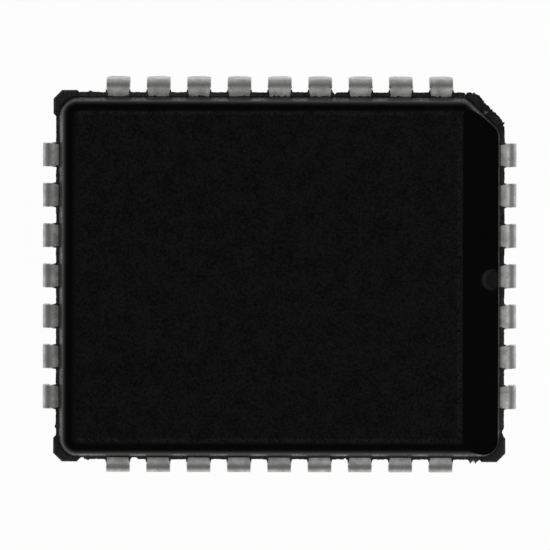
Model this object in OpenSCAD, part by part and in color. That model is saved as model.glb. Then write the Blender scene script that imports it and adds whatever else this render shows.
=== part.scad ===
// Plastic leaded chip carrier with J-shaped leads on all four sides.
// Millimetres. The seating plane is z = 0 and the package is centred on the z axis.
// +X points to the pin 1 side, and the pins count anticlockwise seen from above.

/* [Lead rows] */
// Leads on each side that runs along X
long_side_count = 9; // [7:2:11]
// Leads on each side that runs along Y
short_side_count = 7; // [5:2:9]
// Distance between the centres of neighbouring leads
lead_spacing = 1.27; // [1.15:0.01:1.5]
// Distance from the centre of a row's last lead to the edge of the moulding
row_end = 1.905; // [1.75:0.005:2.3]

/* [Moulding] */
// Height of the flat top above the seating plane
package_height = 3.35; // [3.2:0.01:3.9]
// Gap between the seating plane and the underside
stand_off = 0.56; // [0.51:0.01:0.68]
// Slope of the moulded walls, in degrees from upright
wall_draft = 9; // [4:0.5:11]
// Width of the flat ledge that the upper and lower halves leave at the lead plane
ledge = 0.03; // [0.02:0.005:0.12]
// How far the upper half of the mould sat off the lower half, away from the cut corner
mould_shift = 0.03; // [0:0.005:0.05]
// Radius of the upright corners at the lead plane
corner_radius = 0.58; // [0.5:0.02:0.9]
// Rounding of the edge round the flat top
top_edge_radius = 0.44; // [0.1:0.01:0.45]
// Rounding of the edge round the underside
bottom_edge_radius = 0.12; // [0.05:0.01:0.2]
// How far a corner tab stands out from the edge of the moulding
tab_reach = 0.13; // [0.05:0.005:0.25]
// Length of a corner tab along each edge, from the corner of the moulding
tab_run = 0.745; // [0.5:0.005:0.9]
// Leg of the 45 degree cut across a corner tab
tab_cut = 0.27; // [0.1:0.01:0.6]
// Diameter of the shallow ejector marks on the underside
ejector_diameter = 1.6; // [1:0.1:2.2]
// Depth of the ejector marks
ejector_depth = 0.06; // [0.02:0.01:0.15]
// Distance between the centres of the two ejector marks
ejector_spacing = 5; // [3:0.1:6]

/* [Pin 1 marks] */
// Leg of the cut corner next to pin 1, on the upper and lower halves
corner_cut = 1.04; // [0.7:0.02:1.2]
// Radius where the cut corner runs into the walls
cut_radius = 0.58; // [0.48:0.02:0.7]
// Width of the ledge along the cut corner
cut_ledge = 0.17; // [0.1:0.01:0.4]
// Width of the bevel along the pin 1 side, from the edge of the moulding
bevel_width = 1.245; // [0.9:0.005:1.5]
// Slope of the bevel, in degrees below the flat top
bevel_angle = 29; // [15:1:35]
// Diameter of the round recess at pin 1
mark_diameter = 0.6; // [0.4:0.02:0.8]
// Distance from the edge of the moulding to the centre of the recess
mark_inset = 0.325; // [0.3:0.005:0.6]
// Distance of the recess from the middle of the pin 1 side, away from the cut corner
mark_offset = 0.06; // [0:0.01:0.2]
// Depth of the floor of the recess below the flat top
mark_depth = 0.58; // [0.4:0.01:0.7]

/* [Leads] */
// Thickness of the lead frame sheet
lead_thickness = 0.22; // [0.2:0.01:0.3]
// Height of the lead shoulders above the seating plane
shoulder_height = 2.2; // [2:0.01:2.35]
// How far a lead stands out from the edge of the moulding
lead_reach = 0.47; // [0.45:0.01:0.7]
// Outer radius of the bend from shoulder to upright
shoulder_radius = 0.33; // [0.28:0.01:0.45]
// Outward lean of the leads on the +Y side, in degrees
back_row_lean = 7; // [0:0.5:9]
// Outer radius of the curled foot
foot_radius = 1.02; // [0.8:0.01:1.14]
// How far the foot curls on past its lowest point, in degrees
foot_curl = 65; // [50:1:75]
// Width of a lead where it leaves the moulding
root_width = 0.72; // [0.6:0.01:0.76]
// Width across the cut stubs of the dam bar
dam_width = 0.81; // [0.78:0.01:0.9]
// Distance from the edge of the moulding to the dam bar stubs
dam_gap = 0.06; // [0.02:0.01:0.1]
// Length of a dam bar stub along the lead
dam_length = 0.15; // [0.08:0.01:0.2]
// Width of a lead between the dam bar stubs and the foot
upper_width = 0.75; // [0.66:0.01:0.77]
// Width of the foot
foot_width = 0.43; // [0.34:0.01:0.56]
// Height at which a lead is down to the width of its foot
foot_top = 1.05; // [0.9:0.01:1.15]
// Height over which a lead narrows to its foot
neck_height = 0.2; // [0.1:0.01:0.35]
// Room between the foot of a lead and the walls of its pocket in the underside
pocket_clearance = 0.08; // [0.05:0.01:0.12]
// Room above the tip of a lead in its pocket
pocket_headroom = 0.15; // [0.08:0.01:0.3]

/* [Lead frame inside] */
// Length of the straight root of a lead inside the moulding
root_length = 0.6; // [0.4:0.02:0.8]
// Length over which the root narrows to the finger
root_taper = 0.35; // [0.2:0.02:0.5]
// Width of a lead finger after the root
finger_width = 0.4; // [0.3:0.01:0.5]
// Width of the tip of a finger
tip_width = 0.25; // [0.18:0.01:0.3]
// Gap between the finger tips and the die pad
finger_gap = 0.35; // [0.2:0.01:0.5]
// Distance from the end of a row of tips to the corner of the die pad
tip_corner = 0.35; // [0.25:0.01:0.5]
// Width of the bars that hold the die pad
tie_bar_width = 0.28; // [0.2:0.01:0.34]
// Distance from the last lead of a row to the tie bar beside it
tie_bar_gap = 0.93; // [0.85:0.01:1.05]
// How far the broken end of a tie bar stands out of the moulding
tie_bar_stub = 0.05; // [0.02:0.01:0.14]

/* [Die and wires] */
// Length of the die along X
die_length = 4.4; // [3.6:0.1:4.8]
// Width of the die along Y
die_width = 3.6; // [3:0.1:4]
// Thickness of the die
die_thickness = 0.38; // [0.25:0.01:0.45]
// Width of the die pad left clear around the die
pad_margin = 0.4; // [0.3:0.01:0.5]
// Thickness of the adhesive under the die
attach_thickness = 0.03; // [0.02:0.005:0.05]
// How far the adhesive squeezes out around the die
attach_fillet = 0.1; // [0.05:0.01:0.15]
// Diameter of the bond wires
wire_diameter = 0.032; // [0.025:0.001:0.05]
// Diameter of the ball where a wire starts on the die
ball_diameter = 0.09; // [0.07:0.01:0.11]
// Height of the ball
ball_height = 0.025; // [0.015:0.005:0.04]
// Distance from the edge of the die to the row of balls
ball_inset = 0.12; // [0.08:0.01:0.2]
// Distance from the corner of the die to the first ball of a row
ball_corner = 0.35; // [0.25:0.01:0.5]
// Distance from the tip of a finger to the landing of its wire
landing_inset = 0.15; // [0.1:0.01:0.25]

/* [Hidden] */
$fn = 48;
edge_steps = 8;
post_sides = 32;
wire_sides = 8;
cut_excess = 1;

lead_count = 2 * (long_side_count + short_side_count);
body_length = (long_side_count - 1) * lead_spacing + 2 * row_end;
body_width = (short_side_count - 1) * lead_spacing + 2 * row_end;
half_length = body_length / 2;
half_width = body_width / 2;

frame_bottom = shoulder_height - lead_thickness;
upper_height = package_height - shoulder_height;
lower_height = frame_bottom - stand_off;

pad_length = die_length + 2 * pad_margin;
pad_width = die_width + 2 * pad_margin;
die_bottom = shoulder_height + attach_thickness;
die_top = die_bottom + die_thickness;

tip_angle = 90 + foot_curl;
bend_centre = lead_reach - shoulder_radius;
bend_height = shoulder_height - shoulder_radius;
foot_inner = foot_radius - lead_thickness;
tip_height = foot_radius - foot_inner * cos(foot_curl);
lean_run = foot_centre(back_row_lean) - foot_centre(0);

BODY_COLOUR = [0.07, 0.07, 0.07];
TIN_COLOUR = [0.56, 0.57, 0.55];
COPPER_COLOUR = [0.72, 0.52, 0.38];
EPOXY_COLOUR = [0.72, 0.72, 0.70];
SILICON_COLOUR = [0.34, 0.36, 0.42];
GOLD_COLOUR = [0.86, 0.68, 0.28];

function two_digits(n) = str(n < 10 ? "0" : "", n);
function lead_name(pin) = str("lead_", two_digits(pin));

// Sides count anticlockwise from +X. A pin's slot counts the same way, from the -Y end of side 0.
function side_count(side) = side % 2 == 0 ? short_side_count : long_side_count;
function side_start(side) = side == 0 ? 0 : side_start(side - 1) + side_count(side - 1);
function side_reach(side) = side % 2 == 0 ? half_length : half_width;
function pad_reach(side) = (side % 2 == 0 ? pad_length : pad_width) / 2;
function pad_span(side) = side % 2 == 0 ? pad_width : pad_length;
function die_reach(side) = (side % 2 == 0 ? die_length : die_width) / 2;
function die_span(side) = side % 2 == 0 ? die_width : die_length;
function side_lean(side) = side == 1 ? back_row_lean : 0;

// Length of the straight upright of a lead, and the centre of its foot from the edge of the moulding
function upright_length(lean) =
    (bend_height - foot_radius + (shoulder_radius - foot_radius) * sin(lean)) / cos(lean);
function foot_centre(lean) =
    bend_centre + (shoulder_radius - foot_radius) * cos(lean) + upright_length(lean) * sin(lean);

function pin_slot(pin) = (pin - 1 + floor((short_side_count - 1) / 2)) % lead_count;
function slot_side(slot) = max([for (side = [0:3]) if (slot >= side_start(side)) side]);
function pin_side(pin) = slot_side(pin_slot(pin));
// Places along a row from its middle, such as -3 to 3 on a side with 7 leads
function row_place(pin) = pin_slot(pin) - side_start(pin_side(pin)) - (side_count(pin_side(pin)) - 1) / 2;
function tip_pitch(side) = (pad_span(side) - 2 * tip_corner) / (side_count(side) - 1);
function ball_pitch(side) = (die_span(side) - 2 * ball_corner) / (side_count(side) - 1);

// Largest rounding that the narrowest corner post can carry on a wall of this height
function edge_limit(height) =
    (min(corner_radius, cut_radius) - height * tan(wall_draft)) / (1 / cos(wall_draft) - tan(wall_draft));

// Half section of a corner post: a drafted wall that rounds over into the flat end face
function post_section(radius, height, edge) =
    let (
        inner = radius - (height - edge) * tan(wall_draft) - edge / cos(wall_draft),
        step = (90 - wall_draft) / edge_steps
    )
    concat(
        [[0, 0], [radius, 0]],
        [for (k = [0:edge_steps])
            let (a = wall_draft + k * step) [inner + edge * cos(a), height - edge + edge * sin(a)]],
        [[0, height]]
    );

// Centres and radii of the corner posts: three round corners, and two posts at the ends of the cut corner
function corner_posts() =
    let (
        x = half_length - ledge,
        y = half_width - ledge,
        r = corner_radius,
        k = cut_radius,
        cut_end = corner_cut + k * (sqrt(2) - 1)
    )
    [[r - x, y - r, r], [r - x, r - y, r], [x - r, r - y, r], [x - k, y - cut_end, k], [x - cut_end, y - k, k]];

// One moulded half, standing on z = 0 with its rounded face up
module moulded_half(height, edge_radius) {
    edge = min(edge_radius, 0.95 * edge_limit(height));
    hull()
        for (post = corner_posts())
            translate([post.x, post.y, 0])
                rotate_extrude($fn = post_sides)
                    polygon(post_section(post.z, height, edge));
}

// Corner tab of the +X +Y quarter, in plan
module corner_tab() {
    x = half_length;
    y = half_width;
    polygon([
        [x - tab_run, y - tab_run],
        [x, y - tab_run],
        [x + tab_reach, y - tab_run + tab_reach],
        [x + tab_reach, y + tab_reach - tab_cut],
        [x + tab_reach - tab_cut, y + tab_reach],
        [x - tab_run + tab_reach, y + tab_reach],
        [x - tab_run, y]
    ]);
}

// Outline of the plastic between the leads, with its cut corner and three tabs
module web_outline() {
    x = half_length;
    y = half_width;
    cut = corner_cut + 2 * ledge - cut_ledge * sqrt(2);
    polygon([[-x, -y], [x, -y], [x, y - cut], [x - cut, y], [-x, y]]);
    mirror([1, 0]) corner_tab();
    mirror([0, 1]) corner_tab();
    rotate(180) corner_tab();
}

module pin_one_bevel() {
    translate([half_length - bevel_width, -body_width, package_height])
        rotate([0, bevel_angle, 0])
            cube([2 * bevel_width + cut_excess, 2 * body_width, package_height]);
}

module pin_one_recess() {
    translate([half_length - mark_inset, -mark_offset, package_height - mark_depth])
        cylinder(d = mark_diameter, h = mark_depth + cut_excess);
}

module ejector_marks() {
    for (end = [-1, 1])
        translate([end * ejector_spacing / 2, 0, stand_off - cut_excess])
            cylinder(d = ejector_diameter, h = ejector_depth + cut_excess);
}

// Moves a shape drawn at the edge of the moulding, pointing out along +X, to the place of a pin
module at_pin(pin) {
    side = pin_side(pin);
    rotate(90 * side)
        translate([side_reach(side), row_place(pin) * lead_spacing, 0])
            children();
}

// Pocket in the underside for the tip of a lead
module tip_pocket(lean) {
    width = foot_width + 2 * pocket_clearance;
    tip_inside = foot_centre(lean) - foot_radius * sin(foot_curl);
    length = lead_thickness * sin(foot_curl) + 2 * pocket_clearance;
    translate([tip_inside - pocket_clearance, -width / 2, 0])
        cube([length, width, tip_height + pocket_headroom]);
}

// Ring sector from the angle start to the angle end, in plan
module ring_sector(outer, inner, start, end) {
    steps = 3;
    intersection() {
        difference() {
            circle(outer);
            circle(inner);
        }
        polygon(concat([[0, 0]],
            [for (k = [0:steps]) let (a = start + (end - start) * k / steps) 2 * outer * [cos(a), sin(a)]]));
    }
}

// Side view of a lead: shoulder, bend, upright and curled foot
module lead_side_view(lean) {
    inner_bend = shoulder_radius - lead_thickness;
    upright = upright_length(lean);
    translate([-root_length, frame_bottom])
        square([root_length + bend_centre, lead_thickness]);
    translate([bend_centre, bend_height]) {
        ring_sector(shoulder_radius, inner_bend, lean, 90);
        rotate(lean)
            translate([inner_bend, -upright])
                square([lead_thickness, upright]);
    }
    translate([foot_centre(lean), foot_radius])
        ring_sector(foot_radius, foot_inner, -tip_angle, lean);
}

// Front view of a lead: full width down to the neck, then the narrow foot
module lead_front_view() {
    full = dam_width / 2;
    upper = upper_width / 2;
    foot = foot_width / 2;
    stub_bottom = shoulder_height - 2 * lead_thickness;
    neck_top = foot_top + neck_height;
    right = [[foot, 0], [foot, foot_top], [upper, neck_top], [upper, stub_bottom],
             [full, stub_bottom], [full, shoulder_height]];
    left = [for (k = [len(right) - 1:-1:0]) [-right[k].x, right[k].y]];
    polygon(concat(right, left));
}

// Plan view of a lead: root, dam bar stubs and upper part
module lead_plan_view(lean) {
    inside = 2 * foot_radius + root_length;
    outside = foot_centre(lean) + foot_radius;
    translate([-inside, -root_width / 2])
        square([inside + dam_gap, root_width]);
    translate([dam_gap, -dam_width / 2])
        square([dam_length, dam_width]);
    translate([dam_gap, -upper_width / 2])
        square([outside - dam_gap, upper_width]);
}

// Outer part of a lead: what all three views leave standing
module j_lead(lean) {
    intersection() {
        rotate([90, 0, 0])
            linear_extrude(dam_width, center = true)
                lead_side_view(lean);
        rotate([90, 0, 90])
            linear_extrude(8 * foot_radius, center = true)
                lead_front_view();
        linear_extrude(shoulder_height)
            lead_plan_view(lean);
    }
}

// Inner part of a lead, from its root to its tip beside the die pad
module lead_finger(pin) {
    side = pin_side(pin);
    offset = row_place(pin) * (tip_pitch(side) - lead_spacing);
    tip = pad_reach(side) + finger_gap - side_reach(side);
    neck = -root_length - root_taper;
    translate([0, 0, frame_bottom])
        linear_extrude(lead_thickness)
            polygon([
                [-root_length, -root_width / 2],
                [-root_length, root_width / 2],
                [neck, finger_width / 2],
                [tip, offset + tip_width / 2],
                [tip, offset - tip_width / 2],
                [neck, -finger_width / 2]
            ]);
}

module lead(pin) {
    color(TIN_COLOUR)
        at_pin(pin) {
            j_lead(side_lean(pin_side(pin)));
            lead_finger(pin);
        }
}

// Flat strip between two points, in plan, with round ends
module strip(from, to, width) {
    run = to - from;
    translate(from)
        rotate(atan2(run.y, run.x))
            translate([0, -width / 2])
                square([norm(run), width]);
    translate(from)
        circle(d = width);
}

// Tie bar of the +X +Y quarter, in plan: straight in from the edge, then across to the pad
module tie_bar() {
    x = half_length - row_end + tie_bar_gap;
    elbow = [x, half_width - row_end + tie_bar_gap];
    strip(elbow, [x, half_width + tie_bar_stub], tie_bar_width);
    strip([pad_length / 2 - pad_margin, pad_width / 2 - pad_margin], elbow, tie_bar_width);
}

module die_pad() {
    color(COPPER_COLOUR)
        translate([0, 0, frame_bottom])
            linear_extrude(lead_thickness) {
                square([pad_length, pad_width], center = true);
                for (flip_x = [0, 1], flip_y = [0, 1])
                    mirror([flip_x, 0])
                        mirror([0, flip_y])
                            tie_bar();
            }
}

module die_attach() {
    size = [die_length + 2 * attach_fillet, die_width + 2 * attach_fillet, attach_thickness];
    color(EPOXY_COLOUR)
        translate([-size.x / 2, -size.y / 2, shoulder_height])
            cube(size);
}

module die() {
    color(SILICON_COLOUR)
        translate([-die_length / 2, -die_width / 2, die_bottom])
            cube([die_length, die_width, die_thickness]);
}

// Quarter turn of wire in the XZ plane, from [radius, 0] up to [0, radius]
module wire_quarter(radius) {
    rotate([90, 0, 0])
        rotate_extrude(angle = 90)
            translate([radius, 0])
                circle(d = wire_diameter, $fn = wire_sides);
}

// One wire with upright ends: up from its ball, over, and down on the finger
module bond_wire(pin) {
    side = pin_side(pin);
    start = [die_reach(side) - ball_inset, row_place(pin) * ball_pitch(side)];
    landing = [pad_reach(side) + finger_gap + landing_inset, row_place(pin) * tip_pitch(side)];
    run = landing - start;
    rise = die_top + ball_height - shoulder_height;
    rising_radius = (norm(run) - rise) / 2;
    falling_radius = (norm(run) + rise) / 2;
    rotate(90 * side)
        translate([start.x, start.y, 0])
            rotate(atan2(run.y, run.x)) {
                translate([0, 0, die_top])
                    cylinder(d = ball_diameter, h = ball_height);
                translate([rising_radius, 0, die_top + ball_height])
                    mirror([1, 0, 0])
                        wire_quarter(rising_radius);
                translate([rising_radius, 0, shoulder_height])
                    wire_quarter(falling_radius);
            }
}

module bond_wires() {
    color(GOLD_COLOUR)
        for (pin = [1:lead_count])
            bond_wire(pin);
}

// The moulding, cast round the lead frame, die and wires, which it holds without play
module package_body() {
    color(BODY_COLOUR)
        difference() {
            union() {
                translate([0, -mould_shift, shoulder_height])
                    moulded_half(upper_height, top_edge_radius);
                translate([0, 0, frame_bottom])
                    mirror([0, 0, 1])
                        moulded_half(lower_height, bottom_edge_radius);
                translate([0, 0, frame_bottom])
                    linear_extrude(lead_thickness)
                        web_outline();
            }
            pin_one_bevel();
            pin_one_recess();
            ejector_marks();
            for (pin = [1:lead_count])
                at_pin(pin)
                    tip_pocket(side_lean(pin_side(pin)));
            for (pin = [1:lead_count])
                lead(pin);
            die_pad();
            die_attach();
            die();
            bond_wires();
        }
}

// The leaning leads reach further out, so the moulding sits half of that off the middle
translate([0, -lean_run / 2, 0]) {
    package_body();
    for (pin = [1:lead_count])
        lead(pin);
    die_pad();
    die_attach();
    die();
    bond_wires();
}
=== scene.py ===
"""Looks of a plastic leaded chip carrier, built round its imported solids.

The file is laid out as an add-on: settings, shared shader groups, materials, one operator for each group of
pieces, a panel, and a main function that runs the operators in order. Lengths are in metres, and in
millimetres inside the materials.
"""

import math

import bpy
import numpy as np
from bpy.props import FloatProperty, FloatVectorProperty, IntProperty, PointerProperty
from mathutils import Euler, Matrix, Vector


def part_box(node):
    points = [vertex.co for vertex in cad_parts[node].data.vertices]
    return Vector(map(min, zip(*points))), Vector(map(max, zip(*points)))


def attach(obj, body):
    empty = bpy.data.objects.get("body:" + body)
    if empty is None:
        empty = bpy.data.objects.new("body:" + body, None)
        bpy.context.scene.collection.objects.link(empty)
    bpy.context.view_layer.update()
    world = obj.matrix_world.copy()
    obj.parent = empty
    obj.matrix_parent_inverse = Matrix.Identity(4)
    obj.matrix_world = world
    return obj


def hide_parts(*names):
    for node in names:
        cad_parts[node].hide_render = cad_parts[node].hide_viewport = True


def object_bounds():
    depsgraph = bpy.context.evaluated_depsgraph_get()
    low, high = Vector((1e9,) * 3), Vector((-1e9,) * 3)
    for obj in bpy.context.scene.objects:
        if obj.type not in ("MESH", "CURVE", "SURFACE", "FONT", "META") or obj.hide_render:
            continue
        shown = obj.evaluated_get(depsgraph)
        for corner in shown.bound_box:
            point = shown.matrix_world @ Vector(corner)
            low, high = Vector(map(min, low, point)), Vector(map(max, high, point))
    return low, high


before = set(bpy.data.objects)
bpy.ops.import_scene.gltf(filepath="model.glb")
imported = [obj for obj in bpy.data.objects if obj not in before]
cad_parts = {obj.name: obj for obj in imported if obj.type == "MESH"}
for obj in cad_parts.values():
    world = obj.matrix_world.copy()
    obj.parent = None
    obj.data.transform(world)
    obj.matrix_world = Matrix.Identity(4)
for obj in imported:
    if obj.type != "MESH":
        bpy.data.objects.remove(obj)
CAD_LOW, CAD_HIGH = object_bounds()

bl_info = {
    "name": "Chip Carrier Looks",
    "version": (1, 0, 0),
    "blender": (4, 5, 0),
    "location": "View3D > Sidebar > Chip",
    "description": "Finishes, leads and flash of a plastic leaded chip carrier",
    "category": "Object",
}

LEAD_NAMES = sorted(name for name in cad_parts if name.startswith("lead_"))
BODY_LOW, BODY_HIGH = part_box("package_body")
SHOULDER_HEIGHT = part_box(LEAD_NAMES[0])[1].z
MM = 0.001
# Heights over the flat top, and over the lead shoulders, between which finishes change, in mm
FLAT_TOP = (-0.03, -0.014)
LEDGE_BELOW = (-0.26, -0.23)
LEDGE_ABOVE = (0.01, 0.03)
# Distances past an edge over which the recess, its crescent of painted highlight, the painted highlight
# along the tab edges, the corner tabs and the flake fade, in mm
RECESS_FADE = (-0.09, 0.07)
CRESCENT_FADE = (-0.05, 0.03)
TAB_EDGE_HIGHLIGHT_FADE = (-0.09, -0.02)
TAB_FADE = (-0.95, -0.75)
FLAKE_FADE = (-0.03, 0.03)
# Half sizes along X and Y, and corner radius, of the pale flake on the ledge, in mm
FLAKE = (0.06, 0.045, 0.04)
# Sums of X and Y, in mm, between which the ledge gets darker, and its brightness at each
LEDGE_TONE = (-6.0, 12.0, 1.7, 0.8)
# Low and high value of the grain, and the brightness at each, on the moulding, the ledge and the tin plate
MOTTLE = (0.34, 0.66, 0.25, 1.75)
CRUMBLE = (0.32, 0.68, 0.5, 1.5)
BLOTCHES = (0.32, 0.68, 0.84, 1.12)
# Edges of the flash and the burr that turn more than this stay sharp
SHARP_ANGLE = math.radians(40)
# From the edge of the body to where the cut ends of the tie bars are bare
BARE_INSET = 0.16 * MM
# How much of the stub bevel there is on each side of the part
STUB_BEVELS = (0.5, 1.0, 0.4, 0.45)
# Where along its run the stub bevel gets a ring, counted back from its outer end
BEVEL_STEPS = np.array([-1.0, -0.9, -0.1, 0.0])
# How far the stub bevel looks aside, out of the sheet and along the lead
BEVEL_FACING = (0.45, 0.5, 0.74)
# Distances along a leaning lead at which the painted shade over its bend starts, is full, starts to fade
# and has faded
PAINTED_BEND_SHADE_RUN = np.array([0.295, 0.35, 0.55, 0.72]) * MM
# Points of the wandering line along the skin over the root of a lead
ROOT_POINTS = 40


def length_property(name, description, default):
    """A length setting, in metres."""
    return FloatProperty(
        name=name, description=description, default=default,
        min=0.0, precision=6, subtype="DISTANCE", unit="LENGTH",
    )


def share_property(name, description, default):
    """A setting from 0 to 1, such as a roughness."""
    return FloatProperty(
        name=name, description=description, default=default, min=0.0, max=1.0, subtype="FACTOR",
    )


def angle_property(name, description, degrees):
    """An angle setting, given in degrees and kept in radians."""
    return FloatProperty(
        name=name, description=description, default=math.radians(degrees), subtype="ANGLE", unit="ROTATION",
    )


def colour_property(name, description, default):
    """A scene-linear colour setting."""
    return FloatVectorProperty(
        name=name, description=description, default=default, size=3, min=0.0, max=1.0, subtype="COLOR",
    )


class ChipMouldingSettings(bpy.types.PropertyGroup):
    """Finish of the black moulding."""

    panel_colour: colour_property("Panel", "Colour of the matte spark-eroded top", (0.0086, 0.0086, 0.0086))
    polished_colour: colour_property(
        "Polished", "Colour of the polished bevel and edges", (0.0012, 0.0012, 0.0012),
    )
    scuff_colour: colour_property("Scuffs", "Colour of the rubbed streaks on the walls", (0.03, 0.03, 0.03))
    rim_colour: colour_property("Rim", "Colour of the rim round the matte panel", (0.017, 0.017, 0.017))
    ledge_colour: colour_property(
        "Ledge", "Colour of the broken plastic at the lead plane", (0.06, 0.06, 0.058),
    )
    # Painted highlight along the edges of the corner tabs, in place of the light that rounded edges would
    # catch
    tab_edge_highlight_colour: colour_property(
        "Worn edges", "Colour of the worn edges of the corner tabs", (0.12, 0.12, 0.115),
    )
    flake_colour: colour_property(
        "Flake", "Colour of the pale flake on the ledge at the cut corner", (0.3, 0.3, 0.29),
    )
    flake_x: length_property("Flake X", "Place of the flake along X", 6.48 * MM)
    flake_y: length_property("Flake Y", "Place of the flake along Y", 5.1 * MM)
    recess_colour: colour_property(
        "Recess", "Colour of the floor of the pin 1 recess", (0.0175, 0.0175, 0.0175),
    )
    # Painted highlight: a paler crescent along the inner edge of the recess
    crescent_highlight_colour: colour_property(
        "Crescent", "Colour along the inner edge of the recess", (0.055, 0.055, 0.055),
    )
    crescent_width: length_property("Crescent width", "Width of that crescent", 0.1 * MM)
    recess_inset: length_property(
        "Recess inset", "From the pin 1 end of the body to the middle of the recess", 0.455 * MM,
    )
    recess_offset: length_property(
        "Recess offset", "From the middle of the width to that of the recess", 0.09 * MM,
    )
    recess_radius: length_property("Recess radius", "Radius of the recess", 0.3 * MM)
    recess_depth: length_property("Recess depth", "Depth of the recess below the flat top", 0.58 * MM)
    panel_left: length_property("Panel left", "From the end of the body to the matte panel", 0.73 * MM)
    panel_right: length_property(
        "Panel right", "From the pin 1 end of the body to the matte panel", 1.39 * MM,
    )
    panel_side: length_property("Panel side", "From a long side of the body to the matte panel", 0.625 * MM)
    panel_corner: length_property("Panel corner", "Corner radius of the matte panel", 0.25 * MM)
    panel_fade: length_property("Panel fade", "Half the width over which its edge fades", 0.06 * MM)
    rim_inset: length_property("Rim inset", "From the panel's edge to the middle of its rim", 0.09 * MM)
    rim_width: length_property("Rim width", "Half the width of that rim", 0.1 * MM)
    foot_height: length_property("Foot height", "How far up the front wall its foot is dull", 0.6 * MM)
    foot_roughness: share_property("Foot roughness", "Roughness at the foot of the front wall", 0.8)
    tab_cut: length_property("Tab cut", "Leg of the cut across a corner tab", 0.27 * MM)
    tab_shade: share_property(
        "Tab shade", "Brightness of the corner tabs beside the rest of the ledge", 0.62,
    )
    panel_roughness: share_property("Panel roughness", "Roughness of the matte panel", 0.7)
    polished_roughness: share_property("Polished roughness", "Roughness of the bevel and edges", 0.3)
    wall_roughness: share_property("Wall roughness", "Roughness of the drafted walls", 0.38)
    ledge_roughness: share_property("Ledge roughness", "Roughness of the broken plastic", 0.8)
    specular: share_property("Specular", "Specular level of the moulding", 0.12)
    grain_size: length_property("Grain size", "Size of the spark-eroded grain", 0.065 * MM)
    smooth_angle: angle_property("Smooth angle", "Edges flatter than this are shaded round", 22)


class ChipLeadSettings(bpy.types.PropertyGroup):
    """Form and finish of the J leads. The sizes are those of the solids."""

    thickness: length_property("Thickness", "Thickness of the lead frame sheet", 0.22 * MM)
    reach: length_property("Reach", "How far a lead stands out of the moulding", 0.47 * MM)
    shoulder_radius: length_property("Shoulder radius", "Outer radius of the shoulder bend", 0.33 * MM)
    back_row_lean: angle_property("Back row lean", "Outward lean of the leads on the +Y side", 7)
    foot_radius: length_property("Foot radius", "Outer radius of the curled foot", 1.02 * MM)
    foot_curl: angle_property("Foot curl", "How far the foot curls on past its lowest point", 65)
    root_width: length_property("Root width", "Width where a lead leaves the moulding", 0.72 * MM)
    dam_width: length_property("Dam width", "Width across the cut stubs of the dam bar", 0.81 * MM)
    dam_gap: length_property("Dam gap", "From the moulding to the dam bar stubs", 0.06 * MM)
    dam_length: length_property("Dam length", "Length of a dam bar stub along the lead", 0.15 * MM)
    dam_slope: length_property("Dam slope", "Length over which a stub starts", 0.012 * MM)
    dam_taper: length_property("Dam taper", "How much a stub narrows on the way out", 0.02 * MM)
    upper_width: length_property("Upper width", "Width between the stubs and the foot", 0.75 * MM)
    foot_width: length_property("Foot width", "Width of the foot", 0.43 * MM)
    foot_top: length_property("Foot top", "Height where a lead is down to its foot width", 1.05 * MM)
    neck_height: length_property("Neck height", "Height over which a lead narrows", 0.2 * MM)
    root_length: length_property("Root length", "Straight root inside the moulding", 0.6 * MM)
    root_taper: length_property("Root taper", "Length over which the root narrows", 0.35 * MM)
    finger_width: length_property("Finger width", "Width of the inner finger", 0.4 * MM)
    tip_width: length_property("Tip width", "Width of the finger tip", 0.25 * MM)
    edge_radius: length_property("Edge radius", "Rounding of the sheared and plated edges", 0.03 * MM)
    stub_width: length_property(
        "Stub bevel width", "Width of the bevel that the cut leaves on a stub", 0.1 * MM,
    )
    stub_depth: length_property(
        "Stub bevel depth", "Depth of the bevel that the cut leaves on a stub", 0.13 * MM,
    )
    stub_run: length_property("Stub bevel run", "Length of that bevel along the lead", 0.08 * MM)
    stub_spread: length_property("Stub spread", "How much the cut stubs differ", 0.014 * MM)
    seed: IntProperty(name="Seed", description="Start of the random differences", default=11)
    tin_colour: colour_property("Tin", "Colour of the satin tin plate", (0.62, 0.63, 0.605))
    cut_colour: colour_property("Cut edge", "Colour of the freshly cut edges", (0.78, 0.78, 0.76))
    # Painted shade over the bend and upright of the leaning back row: brightness there
    painted_bend_shade_level: share_property("Dull shade", "Brightness of the plate that went dull in bending", 0.66)
    # Painted shade where the wall shades the root of each lead: brightness there
    root_painted_shade: share_property("Root shade", "Brightness of the plate at the root of a lead", 0.66)
    roughness: share_property("Roughness", "Roughness of the tin plate", 0.5)
    cut_roughness: share_property("Cut roughness", "Roughness of the freshly cut edges", 0.28)


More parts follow.
